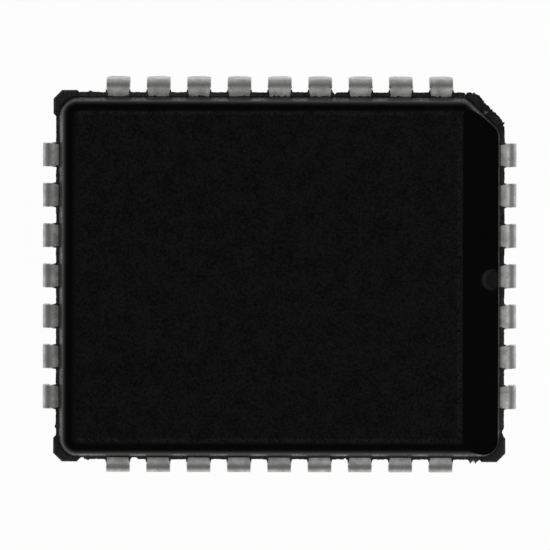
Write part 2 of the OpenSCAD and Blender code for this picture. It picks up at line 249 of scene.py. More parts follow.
class ChipFlashSettings(bpy.types.PropertyGroup):
    """Ragged plastic left between the leads where the dam bar was cut away."""

    reach: length_property("Reach", "Mean reach beyond the edge of the moulding", 0.062 * MM)
    ragged: length_property("Raggedness", "How far the torn edge wanders", 0.017 * MM)
    corner_ragged: length_property("Corner raggedness", "How far it wanders at the cut corner", 0.045 * MM)
    overlap: length_property("Overlap", "How far a strip lies back over the ledge", 0.07 * MM)
    lift: length_property("Lift", "Height of the torn skin over the ledge", 0.004 * MM)
    shed: length_property("Shed", "How far the torn faces lie back from the tip", 0.00595 * MM)
    least_width: length_property("Least width", "Least width of a strip", 0.02 * MM)
    tip_depth: share_property("Tip depth", "Depth of the torn tip, as a share of the sheet", 0.55)
    tuck: length_property("Tuck", "How far the end of a strip draws back into the wall", 0.091 * MM)
    step: length_property("Step", "Distance between points along the edge", 0.01 * MM)
    root_draw: length_property(
        "Root draw", "How far the skin over the root of a lead draws back", 0.052 * MM,
    )
    root_ragged: length_property("Root raggedness", "How far the edge of that skin wanders", 0.045 * MM)
    creep: length_property("Creep", "How far the plastic creeps over the root of a lead", 0.05 * MM)
    fillet: length_property("Fillet", "How far the plastic runs out along the side of a lead", 0.1 * MM)
    fillet_width: length_property("Fillet width", "Width of the plastic beside a lead", 0.06 * MM)
    tab_run: length_property("Tab run", "Clean length at each corner tab", 0.745 * MM)
    tab_reach: length_property("Tab reach", "How far a corner tab stands out", 0.13 * MM)
    tab_lap: length_property("Tab lap", "How far a strip runs on over the slope of a corner tab", 0.06 * MM)
    corner_cut: length_property("Corner cut", "Leg of the cut corner at the lead plane", 0.86 * MM)
    corner_overlap: length_property("Corner overlap", "Overlap of the strips at the cut corner", 0.24 * MM)
    seed: IntProperty(name="Seed", description="Start of the random edge", default=5)


class ChipBurrSettings(bpy.types.PropertyGroup):
    """Sliver of metal left where a tie bar was cut."""

    place: length_property("Place", "Place along X where it leaves the moulding", 6.08 * MM)
    lean: length_property("Lean", "How far its tip lies further along X", 0.03 * MM)
    length: length_property("Length", "How far it reaches out", 0.15 * MM)
    width: length_property("Width", "Width at the moulding", 0.075 * MM)
    thickness: length_property("Thickness", "Thickness at the moulding", 0.05 * MM)
    drop: length_property("Drop", "How far it starts below the tops of the leads", 0.05 * MM)
    bow: length_property("Bow", "How far it bends up", 0.06 * MM)
    colour: colour_property("Colour", "Colour of the torn metal", (0.86, 0.76, 0.72))


class ChipStageSettings(bpy.types.PropertyGroup):
    """Camera, floor and light."""

    camera_distance: length_property("Camera distance", "From the lead shoulders up to the camera", 0.32)
    view_width: length_property("View width", "Width seen at the lead shoulders", 17.3 * MM)
    view_x: FloatProperty(
        name="View X", description="Camera place along X", default=-0.142 * MM, unit="LENGTH",
    )
    view_y: FloatProperty(
        name="View Y", description="Camera place along Y", default=-0.015 * MM, unit="LENGTH",
    )
    view_tilt: angle_property("View tilt", "Lean of the camera from straight above, towards +Y", 1.2)
    view_roll: angle_property("View roll", "Turn of the camera about its line of sight", 0.1)
    floor_size: length_property("Floor size", "Side of the square floor", 4.0)
    floor_colour: colour_property("Floor", "Colour of the floor", (0.9, 0.9, 0.9))
    floor_white: share_property("Floor white", "Share of plain white that the floor shows", 0.975)
    floor_far: share_property(
        "Floor far", "Share of plain white that it shows in reflections further out", 0.4,
    )
    floor_near: length_property(
        "Floor near", "From the part to where its reflection starts to fade", 1.0 * MM,
    )
    floor_fade: length_property("Floor fade", "From the part to where its reflection has faded", 16.0 * MM)
    sky_top: FloatProperty(name="Sky top", description="Brightness straight above", default=0.47, min=0.0)
    sky_side: FloatProperty(
        name="Sky side", description="Brightness round the sides", default=0.14, min=0.0,
    )
    sky_spread: angle_property("Sky spread", "Half angle of the bright part of the sky", 22)
    key_power: FloatProperty(
        name="Key power", description="Power of the soft box", default=0.030, subtype="POWER",
    )
    key_width: length_property("Key width", "Width of the soft box, along X", 0.05)
    key_length: length_property("Key length", "Length of the soft box, along Y", 0.14)
    key_distance: length_property("Key distance", "Distance of the soft box", 0.15)
    key_angle: angle_property("Key angle", "Lean of the soft box from straight above, towards pin 1", 24)


class Wiring:
    """Adds nodes to a tree and links them, so that a material reads as a list of steps."""

    def __init__(self, tree):
        self.tree = tree

    def add(self, kind, inputs=None, **settings):
        """A node of this kind, with its settings, and its inputs set to values or linked to sockets."""
        made = self.tree.nodes.new(kind)
        for key, value in settings.items():
            setattr(made, key, value)
        for key, value in (inputs or {}).items():
            if isinstance(value, bpy.types.NodeSocket):
                self.tree.links.new(value, made.inputs[key])
            else:
                made.inputs[key].default_value = value
        return made

    def maths(self, operation, first, second=0.0):
        return self.add("ShaderNodeMath", {0: first, 1: second}, operation=operation).outputs[0]

    def plus(self, first, second):
        return self.maths("ADD", first, second)

    def minus(self, first, second):
        return self.maths("SUBTRACT", first, second)

    def times(self, first, second):
        return self.maths("MULTIPLY", first, second)

    def vector(self, operation, first, second):
        return self.add("ShaderNodeVectorMath", {0: first, 1: second}, operation=operation).outputs[0]

    def ramp(self, value, low, high, at_low=0.0, at_high=1.0):
        """Smooth step from at_low where value is low to at_high where it is high."""
        inputs = {"Value": value, "From Min": low, "From Max": high, "To Min": at_low, "To Max": at_high}
        return self.add("ShaderNodeMapRange", inputs, interpolation_type="SMOOTHSTEP").outputs["Result"]

    def blend(self, share, first, second):
        """first where share is 0, second where it is 1, as numbers."""
        inputs = {"Factor": share, 2: first, 3: second}
        return self.add("ShaderNodeMix", inputs, data_type="FLOAT").outputs[0]

    def tint(self, share, first, second, blend_type="MIX"):
        """first where share is 0, second where it is 1, as colours."""
        inputs = {"Factor": share, 6: first, 7: second}
        return self.add("ShaderNodeMix", inputs, data_type="RGBA", blend_type=blend_type).outputs[2]

    def millimetres(self):
        """Object coordinates in millimetres."""
        coordinates = self.add("ShaderNodeTexCoord").outputs["Object"]
        return self.vector("MULTIPLY", coordinates, (1 / MM, 1 / MM, 1 / MM))

    def axes(self, vector):
        """X, Y and Z of a vector."""
        return self.add("ShaderNodeSeparateXYZ", {0: vector}).outputs

    def bump(self, height, strength, distance):
        """Normal bent by a height."""
        inputs = {"Height": height, "Strength": strength, "Distance": distance}
        return self.add("ShaderNodeBump", inputs).outputs["Normal"]

    def grain(self, place, size, coarse=0.4):
        """Grain of this size in mm, with a share of coarse noise."""
        inputs = {"Vector": place, "Size": size, "Coarse": coarse}
        made = self.add("ShaderNodeGroup", inputs, node_tree=shared_group("Grain", grain_group))
        return made.outputs["Value"]

    def streaks(self, place, stretch, amount):
        """Thin marks, longest along the axis with the lowest number in stretch."""
        inputs = {"Vector": place, "Stretch": stretch, "Amount": amount}
        made = self.add("ShaderNodeGroup", inputs, node_tree=shared_group("Streaks", streak_group))
        return made.outputs["Mask"]


def rgba(colour):
    return (*colour, 1.0)


def new_group(name, inputs, outputs):
    """An empty shader group with these named sockets, and its wiring, input node and output node."""
    tree = bpy.data.node_groups.new(name, "ShaderNodeTree")
    for socket, kind, default in inputs:
        made = tree.interface.new_socket(socket, in_out="INPUT", socket_type=kind)
        if default is not None:
            made.default_value = default
    for socket, kind in outputs:
        tree.interface.new_socket(socket, in_out="OUTPUT", socket_type=kind)
    wire = Wiring(tree)
    return tree, wire, wire.add("NodeGroupInput").outputs, wire.add("NodeGroupOutput").inputs


def grain_group():
    """Fine and coarse noise added together, from 0 to 1 round a half: spark erosion, satin plate,
    fillers."""
    tree, wire, given, result = new_group(
        "Grain",
        [("Vector", "NodeSocketVector", None), ("Size", "NodeSocketFloat", 0.05),
         ("Coarse", "NodeSocketFloat", 0.4)],
        [("Value", "NodeSocketFloat")],
    )
    scale = wire.maths("DIVIDE", 1.0, given["Size"])
    fine = wire.add("ShaderNodeTexNoise", {"Vector": given["Vector"], "Scale": scale, "Detail": 3.0})
    wide = wire.times(scale, 0.12)
    coarse = wire.add("ShaderNodeTexNoise", {"Vector": given["Vector"], "Scale": wide, "Detail": 4.0})
    mixed = wire.blend(given["Coarse"], fine.outputs["Fac"], coarse.outputs["Fac"])
    tree.links.new(mixed, result["Value"])
    return tree


def streak_group():
    """Noise drawn out along one axis, sharpened to thin marks: drawing lines, rubs and scratches."""
    tree, wire, given, result = new_group(
        "Streaks",
        [("Vector", "NodeSocketVector", None), ("Stretch", "NodeSocketVector", (1.0, 1.0, 1.0)),
         ("Amount", "NodeSocketFloat", 0.5)],
        [("Mask", "NodeSocketFloat")],
    )
    drawn = wire.vector("MULTIPLY", given["Vector"], given["Stretch"])
    noise = wire.add("ShaderNodeTexNoise", {"Vector": drawn, "Scale": 1.0, "Detail": 5.0, "Roughness": 0.6})
    low = wire.minus(0.85, wire.times(given["Amount"], 0.5))
    mask = wire.ramp(noise.outputs["Fac"], low, wire.plus(low, 0.18))
    tree.links.new(mask, result["Mask"])
    return tree


def shared_group(name, build):
    """The shader group of this name, built the first time that it is asked for."""
    return bpy.data.node_groups.get(name) or build()


def new_material(name):
    """A material with one Principled BSDF, and its wiring."""
    material = bpy.data.materials.new(name)
    material.use_nodes = True
    material.node_tree.nodes.clear()
    wire = Wiring(material.node_tree)
    shader = wire.add("ShaderNodeBsdfPrincipled")
    output = wire.add("ShaderNodeOutputMaterial")
    material.node_tree.links.new(shader.outputs["BSDF"], output.inputs["Surface"])
    return material, wire, shader


def feed(wire, shader, **values):
    """Links sockets to the shader's inputs, or sets plain values there. Names have _ for a space."""
    for key, value in values.items():
        socket = shader.inputs[key.replace("_", " ")]
        if isinstance(value, bpy.types.NodeSocket):
            wire.tree.links.new(value, socket)
        else:
            socket.default_value = value


def rounded_box_distance(wire, x, y, half_x, half_y, corner):
    """Distance outside a rounded rectangle at the origin: the length of what passes the inner
    rectangle, less the corner radius."""
    past_x = wire.minus(wire.maths("ABSOLUTE", x), half_x - corner)
    past_y = wire.minus(wire.maths("ABSOLUTE", y), half_y - corner)
    out_x = wire.maths("MAXIMUM", past_x, 0.0)
    out_y = wire.maths("MAXIMUM", past_y, 0.0)
    squares = wire.plus(wire.maths("POWER", out_x, 2.0), wire.maths("POWER", out_y, 2.0))
    inside = wire.maths("MINIMUM", wire.maths("MAXIMUM", past_x, past_y), 0.0)
    return wire.minus(wire.plus(wire.maths("SQRT", squares), inside), corner)


def recess_shade(wire, axes, settings):
    """Where the pin 1 recess is, and where the crescent of painted highlight along its inner edge is."""
    x = wire.minus(axes["X"], (BODY_HIGH.x - settings.recess_inset) / MM)
    y = wire.minus(axes["Y"], ((BODY_LOW.y + BODY_HIGH.y) / 2 - settings.recess_offset) / MM)
    radius = settings.recess_radius / MM
    shape = wire.ramp(rounded_box_distance(wire, x, y, radius, radius, radius), *RECESS_FADE, 1.0, 0.0)
    # The crescent of painted highlight lies along the inner edge of the recess
    across = wire.minus(x, settings.crescent_width / MM)
    crescent = wire.ramp(rounded_box_distance(wire, across, y, radius, radius, radius), *CRESCENT_FADE)
    depth = (CAD_HIGH.z - settings.recess_depth) / MM
    return wire.times(shape, wire.ramp(axes["Z"], depth - 0.06, depth - 0.02)), crescent


def panel_shade(wire, axes, settings):
    """Where the matte panel is, the part of the flat top inside a rounded rectangle, and where its rim
    is, along the two long sides and the pin 1 side."""
    low_x, high_x = (BODY_LOW.x + settings.panel_left) / MM, (BODY_HIGH.x - settings.panel_right) / MM
    low_y, high_y = (BODY_LOW.y + settings.panel_side) / MM, (BODY_HIGH.y - settings.panel_side) / MM
    half_x, half_y = (high_x - low_x) / 2, (high_y - low_y) / 2
    x = wire.minus(axes["X"], (low_x + high_x) / 2)
    y = wire.minus(axes["Y"], (low_y + high_y) / 2)
    top = CAD_HIGH.z / MM
    flat_top = wire.ramp(axes["Z"], top + FLAT_TOP[0], top + FLAT_TOP[1])
    away = rounded_box_distance(wire, x, y, half_x, half_y, settings.panel_corner / MM)
    fade = settings.panel_fade / MM
    panel = wire.times(flat_top, wire.ramp(away, -fade, fade, 1.0, 0.0))
    past = wire.minus(wire.maths("ABSOLUTE", y), half_y)
    past = wire.maths("MAXIMUM", past, wire.minus(x, half_x))
    from_rim = wire.maths("ABSOLUTE", wire.plus(past, settings.rim_inset / MM))
    return panel, wire.ramp(from_rim, 0.0, settings.rim_width / MM, 1.0, 0.0)


def wall_shade(wire):
    """Where the walls are: what stands nearly upright."""
    normal = wire.add("ShaderNodeNewGeometry").outputs["Normal"]
    return wire.ramp(wire.maths("ABSOLUTE", wire.axes(normal)["Z"]), 0.2, 0.5, 1.0, 0.0)


def ledge_shade(wire, axes):
    """Where the ledge is: what lies within the thickness of the lead frame."""
    over = wire.minus(axes["Z"], SHOULDER_HEIGHT / MM)
    return wire.times(wire.ramp(over, *LEDGE_ABOVE, 1.0, 0.0), wire.ramp(over, *LEDGE_BELOW))


def broken_colour(wire, axes, crumbs, settings):
    """Colour of the broken plastic on the ledge: crumbled, brighter away from the cut corner, darker on the
    corner tabs, with a painted highlight along their edges, and with one pale flake."""
    out_x = wire.maths("ABSOLUTE", axes["X"])
    out_y = wire.maths("ABSOLUTE", wire.minus(axes["Y"], (BODY_LOW.y + BODY_HIGH.y) / 2 / MM))
    past_x = wire.minus(out_x, BODY_HIGH.x / MM)
    past_y = wire.minus(out_y, (BODY_HIGH.y - BODY_LOW.y) / 2 / MM)
    diagonal = wire.plus(wire.plus(past_x, past_y), settings.tab_cut / MM)
    past = wire.maths("MAXIMUM", past_x, past_y)
    past = wire.maths("MAXIMUM", past, wire.times(diagonal, math.sqrt(0.5)))
    # Painted highlight along the edges of the corner tabs, in place of the light that rounded edges would
    # catch
    painted_edge_highlight = wire.ramp(past, *TAB_EDGE_HIGHLIGHT_FADE)
    tab = wire.ramp(wire.maths("MINIMUM", past_x, past_y), *TAB_FADE)
    # Brightness of the ledge graded along X + Y: brighter away from the cut corner, and darker on the
    # corner tabs
    ledge_tone = wire.ramp(wire.plus(axes["X"], axes["Y"]), *LEDGE_TONE)
    ledge_tone = wire.times(ledge_tone, wire.blend(tab, 1.0, settings.tab_shade))
    colour = wire.tint(painted_edge_highlight, rgba(settings.ledge_colour), rgba(settings.tab_edge_highlight_colour))
    crumbled = wire.times(wire.ramp(crumbs, *CRUMBLE), ledge_tone)
    colour = wire.tint(1.0, colour, crumbled, "MULTIPLY")

    flake_x = wire.minus(axes["X"], settings.flake_x / MM)
    flake_y = wire.minus(axes["Y"], settings.flake_y / MM)
    flake = rounded_box_distance(wire, flake_x, flake_y, *FLAKE)
    flake = wire.times(wire.ramp(flake, *FLAKE_FADE, 1.0, 0.0), wire.ramp(crumbs, 0.4, 0.55))
    return wire.tint(flake, colour, rgba(settings.flake_colour))


def rough_walls(wire, axes, crumbs, scuffs, settings):
    """Roughness of the drafted walls: patchy, higher where they are scuffed, and high at the foot of the
    front wall."""
    rough = settings.wall_roughness
    patchy = wire.ramp(crumbs, 0.41, 0.59, rough + 0.12, rough - 0.1)
    scuffed = wire.plus(patchy, wire.times(scuffs, 0.16))
    edge = BODY_LOW.y / MM
    front = wire.ramp(axes["Y"], edge + 0.3, edge + 0.6, 1.0, 0.0)
    start, height = SHOULDER_HEIGHT / MM, settings.foot_height / MM
    foot = wire.ramp(axes["Z"], start + 0.5 * height, start + height, 1.0, 0.0)
    return wire.blend(wire.times(front, foot), scuffed, settings.foot_roughness)


def moulding_material(settings):
    """Black filled epoxy: a matte spark-eroded top panel with a paler rim, polished bevel and edges,
    scuffed walls, a torn ledge, and the pin 1 recess with a crescent of painted highlight along its inner
    edge."""
    material, wire, shader = new_material("black_moulding")
    place = wire.millimetres()
    axes = wire.axes(place)
    panel, rim = panel_shade(wire, axes, settings)
    wall = wall_shade(wire)
    ledge = ledge_shade(wire, axes)
    recess, crescent = recess_shade(wire, axes, settings)
    grain = wire.grain(place, size=settings.grain_size / MM, coarse=0.25)
    crumbs = wire.grain(place, size=0.06, coarse=0.35)
    scuffs = wire.streaks(place, stretch=(4.0, 4.0, 0.6), amount=0.62)
    rubs = wire.streaks(place, stretch=(1.3, 1.3, 0.5), amount=0.5)

    top_colour = wire.tint(rim, rgba(settings.panel_colour), rgba(settings.rim_colour))
    colour = wire.tint(panel, rgba(settings.polished_colour), top_colour)
    colour = wire.tint(1.0, colour, wire.ramp(grain, *MOTTLE), "MULTIPLY")
    colour = wire.tint(wire.times(wall, scuffs), colour, rgba(settings.scuff_colour))
    colour = wire.tint(ledge, colour, broken_colour(wire, axes, crumbs, settings))
    # The recess, with its crescent of painted highlight along the inner edge
    hollow = wire.tint(crescent, rgba(settings.recess_colour), rgba(settings.crescent_highlight_colour))
    colour = wire.tint(recess, colour, hollow)

    rough = wire.blend(rubs, settings.polished_roughness, settings.polished_roughness + 0.1)
    rough = wire.blend(wall, rough, rough_walls(wire, axes, crumbs, scuffs, settings))
    rough = wire.blend(panel, rough, settings.panel_roughness)
    rough = wire.blend(ledge, rough, settings.ledge_roughness)
    rough = wire.blend(recess, rough, settings.panel_roughness)

    texture = wire.blend(ledge, wire.blend(panel, 0.05, 1.0), 2.0)
    normal = wire.bump(wire.times(grain, texture), strength=0.6, distance=0.012 * MM)
    feed(wire, shader, Base_Color=colour, Roughness=rough, Normal=normal)
    feed(wire, shader, Specular_IOR_Level=settings.specular)
    return material


def tin_material(settings):
    """Satin tin plate: drawing lines along the lead, blotches of duller plate, painted shade at the root of
    each lead where the wall shades it, and bright freshly cut edges.

    lead_place holds the place along and across the lead, cut is 1 on the sheared faces of the dam bar
    stubs and less on the other sheared faces, and the third attribute is 1 where painted shade darkens
    the plate over the bend and upright of the leaning back row.
    """
    material, wire, shader = new_material("tin_plate")
    along = wire.add("ShaderNodeAttribute", attribute_name="lead_place").outputs["Vector"]
    cut = wire.add("ShaderNodeAttribute", attribute_name="cut").outputs["Fac"]
    painted_bend_shade = wire.add("ShaderNodeAttribute", attribute_name="painted_bend_shade").outputs["Fac"]
    blotch = wire.grain(along, size=0.035, coarse=0.6)
    lines = wire.streaks(along, stretch=(2.5, 28.0, 1.0), amount=0.55)

    shade = wire.ramp(blotch, *BLOTCHES)
    # Painted shade at the root of each lead, next to the wall
    shade = wire.times(shade, wire.ramp(wire.axes(along)["X"], -0.03, 0.12, settings.root_painted_shade, 1.0))
    # Painted shade over the bend and upright of the leaning back row
    shade = wire.times(shade, wire.blend(painted_bend_shade, 1.0, settings.painted_bend_shade_level))
    colour = wire.tint(1.0, rgba(settings.tin_colour), shade, "MULTIPLY")
    colour = wire.tint(wire.times(cut, 0.8), colour, rgba(settings.cut_colour))
    rough = wire.ramp(blotch, 0.3, 0.7, settings.roughness + 0.08, settings.roughness - 0.08)
    rough = wire.blend(wire.times(lines, 0.6), rough, settings.roughness - 0.1)
    rough = wire.blend(cut, rough, settings.cut_roughness)
    normal = wire.bump(wire.plus(wire.times(lines, 0.5), blotch), strength=0.35, distance=0.006 * MM)
    feed(wire, shader, Base_Color=colour, Roughness=rough, Normal=normal, Metallic=1.0)
    return material


def plain_finish(name, colour, roughness, metallic, size, contrast, bare=None):
    """A finish that is one colour broken up by grain, with its roughness and a fine bump following the
    grain. bare is the colour past the edge of the moulding, where that differs."""
    material, wire, shader = new_material(name)
    place = wire.millimetres()
    base = rgba(colour)
    if bare is not None:
        axes = wire.axes(place)
        y = wire.minus(axes["Y"], (BODY_LOW.y + BODY_HIGH.y) / 2 / MM)
        half_x = (BODY_HIGH.x - BARE_INSET) / MM
        half_y = ((BODY_HIGH.y - BODY_LOW.y) / 2 - BARE_INSET) / MM
        past = rounded_box_distance(wire, axes["X"], y, half_x, half_y, 0.01)
        base = wire.tint(wire.ramp(past, -0.02, 0.0), base, rgba(bare))
    grain = wire.grain(place, size)
    shade = wire.ramp(grain, 0.3, 0.7, 1.0 - contrast, 1.0 + contrast)
    rough = wire.ramp(grain, 0.3, 0.7, roughness + 0.06, roughness - 0.06)
    feed(wire, shader, Base_Color=wire.tint(1.0, base, shade, "MULTIPLY"), Roughness=rough)
    normal = wire.bump(grain, strength=0.3, distance=0.004 * MM)
    feed(wire, shader, Normal=normal, Metallic=metallic)
    return material


def floor_material(settings):
    """Pale floor that shows plain white to the camera, with a share left for the shadow, and white that
    fades away from the part in reflections, as a sheet of paper under it does."""
    material = bpy.data.materials.new("pale_floor")
    material.use_nodes = True
    material.node_tree.nodes.clear()
    wire = Wiring(material.node_tree)
    path = wire.add("ShaderNodeLightPath").outputs
    axes = wire.axes(wire.millimetres())
    away = rounded_box_distance(wire, axes["X"], axes["Y"], CAD_HIGH.x / MM, CAD_HIGH.y / MM, 1.0)
    near, fade = settings.floor_near / MM, settings.floor_fade / MM
    mirrored = wire.ramp(away, near, fade, settings.floor_white, settings.floor_far)
    seen = wire.maths("MAXIMUM", path["Is Glossy Ray"], path["Is Transmission Ray"])
    share = wire.blend(path["Is Camera Ray"], wire.times(seen, mirrored), settings.floor_white)
    matt = wire.add("ShaderNodeBsdfDiffuse", {"Color": rgba(settings.floor_colour)}).outputs[0]
    white = wire.add("ShaderNodeEmission", {"Color": (1.0, 1.0, 1.0, 1.0), "Strength": 1.0}).outputs[0]
    both = wire.add("ShaderNodeMixShader", {0: share, 1: matt, 2: white}).outputs[0]
    wire.add("ShaderNodeOutputMaterial", {"Surface": both})
    return material


def tube_faces(rings, sides, first):
    """Quads between neighbouring rings of a tube that closes on itself, and one face over each end."""
    row = np.arange(rings - 1)[:, None] * sides
    place = np.arange(sides)[None, :]
    after = (place + 1) % sides
    quads = np.stack([row + place, row + after, row + after + sides, row + place + sides], axis=-1)
    start = np.arange(sides)[::-1]
    end = (rings - 1) * sides + np.arange(sides)
    return (quads.reshape(-1, 4) + first).tolist() + [(start + first).tolist(), (end + first).tolist()]


def mesh_piece(name, tubes, material, normals=None, **point_values):
    """One object made of closed tubes, each an array of rings by sides by 3. normals are those of the
    points, used on all faces but the end faces, and point_values are arrays over all the points, kept
    as attributes."""
    points = np.concatenate([tube.reshape(-1, 3) for tube in tubes])
    faces = []
    first = 0
    for tube in tubes:
        faces += tube_faces(tube.shape[0], tube.shape[1], first)
        first += tube.shape[0] * tube.shape[1]
    mesh = bpy.data.meshes.new(name)
    mesh.from_pydata(points.tolist(), [], faces)
    for key, values in point_values.items():
        kind, field = ("FLOAT_VECTOR", "vector") if values.ndim == 2 else ("FLOAT", "value")
        attribute = mesh.attributes.new(key, kind, "POINT")
        attribute.data.foreach_set(field, values.astype(np.float32).ravel())
    mesh.shade_smooth()
    if normals is None:
        mesh.set_sharp_from_angle(angle=SHARP_ANGLE)
    else:
        set_normals(mesh, normals)
    mesh.materials.append(material)
    piece = bpy.data.objects.new(name, mesh)
    bpy.context.scene.collection.objects.link(piece)
    return piece


def set_normals(mesh, normals):
    """Gives each corner of a quad the normal of its point, and each corner of an end face that face's
    own."""
    corners = np.empty(len(mesh.loops), dtype=np.int32)
    mesh.loops.foreach_get("vertex_index", corners)
    sides = np.empty(len(mesh.polygons), dtype=np.int32)
    mesh.polygons.foreach_get("loop_total", sides)
    face_normals = np.empty(3 * len(mesh.polygons), dtype=np.float32)
    mesh.polygons.foreach_get("normal", face_normals)
    on_end = np.repeat(sides > 4, sides)[:, None]
    flat = np.repeat(face_normals.reshape(-1, 3), sides, axis=0)
    mesh.normals_split_custom_set(np.where(on_end, flat, normals[corners]).tolist())


def turned(side, out, along, height):
    """Points given outwards and along a side, turned to that side. Sides count anticlockwise from +X."""
    angle = side * math.pi / 2
    c, s = round(math.cos(angle)), round(math.sin(angle))
    return np.stack([out * c - along * s, out * s + along * c, height], axis=-1)


def side_reach(side, low, high):
    """How far a box reaches out on a side."""
    return (high.x, high.y, -low.x, -low.y)[side]


def side_span(side, low, high):
    """Where a box starts and ends along a side."""
    return ((low.y, high.y), (-high.x, -low.x), (-high.y, -low.y), (low.x, high.x))[side]


def lead_seats(settings, flash):
    """Side, edge, lean, row place, inner end and tip place of each lead, read from its solid and the
    body's.

    A lead is on the side where it reaches the edge of the whole part. Its outer half is as wide as the
    dam bar stubs and lies at the end of its box away from the middle, and its finger tip at the other
    end.
    """
    seats = []
    for name in LEAD_NAMES:
        low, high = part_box(name)
        spare = [side_reach(k, CAD_LOW, CAD_HIGH) - side_reach(k, low, high) for k in range(4)]
        side = int(np.argmin(spare))
        start, end = side_span(side, low, high)
        middle = sum(side_span(side, BODY_LOW, BODY_HIGH)) / 2
        sign = 1.0 if (start + end) / 2 >= middle else -1.0
        outer, inner = (end, start) if sign > 0 else (start, end)
        inner_end = -side_reach((side + 2) % 4, low, high)
        seats.append({
            "name": name,
            "side": side,
            "edge": side_reach(side, BODY_LOW, BODY_HIGH) - flash.tab_reach,
            "lean": settings.back_row_lean if side == 1 else 0.0,
            "place": outer - sign * settings.dam_width / 2,
            "tip_end": inner_end,
            "tip_place": inner + sign * settings.tip_width / 2,
        })
    return seats


def lead_bends(lean, settings):
    """Middle radii of the two bends, and the distances along a lead at which its flat, shoulder bend,
    upright and foot end. The upright is as long as brings the lowest point of the foot to the seating
    plane."""
    bend = settings.shoulder_radius - settings.thickness / 2
    curl = settings.foot_radius - settings.thickness / 2
    drop = SHOULDER_HEIGHT - settings.shoulder_radius - settings.foot_radius
    upright = (drop + (settings.shoulder_radius - settings.foot_radius) * math.sin(lean)) / math.cos(lean)
    flat_end = settings.reach - settings.shoulder_radius
    bend_end = flat_end + bend * (math.pi / 2 - lean)
    upright_end = bend_end + upright
    end = upright_end + curl * (math.pi / 2 + lean + settings.foot_curl)
    return bend, curl, flat_end, bend_end, upright_end, end


def lead_path(run, lean, settings):
    """Middle line of a lead at a distance run along it from the edge of the moulding, and its outward
    normal.

    A straight shoulder, a circle down to the lean of the upright, a straight upright, and a larger
    circle that carries on past the lowest point. Each stretch adds its own offset once run has passed
    its start.
    """
    bend, curl, flat_end, bend_end, upright_end, end = lead_bends(lean, settings)
    steep = math.pi / 2 - lean
    turn = np.clip((run - flat_end) / bend, 0.0, steep)
    drop = np.clip(run - bend_end, 0.0, upright_end - bend_end)
    roll = np.clip((run - upright_end) / curl, 0.0, (end - upright_end) / curl)
    out = np.minimum(run, flat_end) + bend * np.sin(turn) + drop * math.sin(lean)
    out = out + curl * (np.sin(steep + roll) - math.sin(steep))
    height = SHOULDER_HEIGHT - settings.thickness / 2 - bend * (1.0 - np.cos(turn)) - drop * math.cos(lean)
    height = height + curl * (np.cos(steep + roll) - math.cos(steep))
    return out, height, np.sin(turn + roll), np.cos(turn + roll)


def stub_places(settings):
    """Distances along a lead at which its dam bar stubs start, are full, end and have run out."""
    start = settings.dam_gap
    end = start + settings.dam_length
    return [start, start + settings.dam_slope, end, end + 3 * settings.dam_slope]


def bevel_places(settings):
    """Distances along a lead at which the bevel of its cut stubs gets a ring."""
    return stub_places(settings)[2] + settings.stub_run * BEVEL_STEPS


def lead_stations(tip, lean, settings):
    """Distances along a lead at which it gets a ring, and the distances where its width changes.

    tip is the inner end, which is negative. Bends get even steps and each change of width a ring of its
    own.
    """
    bend, _, flat_end, bend_end, upright_end, end = lead_bends(lean, settings)
    height = SHOULDER_HEIGHT - settings.thickness / 2 - bend * (1.0 - math.sin(lean))
    neck_end = bend_end + (height - settings.foot_top) / math.cos(lean)
    neck_start = neck_end - settings.neck_height
    changes = [tip, -settings.root_length - settings.root_taper, -settings.root_length]
    changes += stub_places(settings) + [neck_start, neck_end, end]
    steps = [np.linspace(0.0, flat_end, 5), np.linspace(flat_end, bend_end, 17),
             np.linspace(bend_end, upright_end, 7), np.linspace(upright_end, end, 29),
             bevel_places(settings)]
    rings = np.unique(np.round(np.concatenate(steps + [np.array(changes)]), 8))
    return rings, changes


def half_widths(rings, changes, stub, settings):
    """Half the width of a lead at each ring, on a side whose cut stub reaches stub from the middle."""
    root, upper, foot = settings.root_width / 2, settings.upper_width / 2, settings.foot_width / 2
    narrow = stub - settings.dam_taper
    tip, finger = settings.tip_width / 2, settings.finger_width / 2
    widths = [tip, finger, root, root, stub, narrow, upper, upper, foot, foot]
    return np.interp(rings, changes, widths)


def lead_section():
    """Angles of the points round the section of a lead, four on each corner arc, and on which side of the
    middle each arc lies: across the lead, and through the sheet."""
    arc = np.radians(np.array([0.0, 30.0, 60.0, 90.0]))
    angle = np.concatenate([arc + k * math.pi / 2 for k in range(4)])
    return angle, np.repeat([1.0, -1.0, -1.0, 1.0], len(arc)), np.repeat([1.0, 1.0, -1.0, -1.0], len(arc))


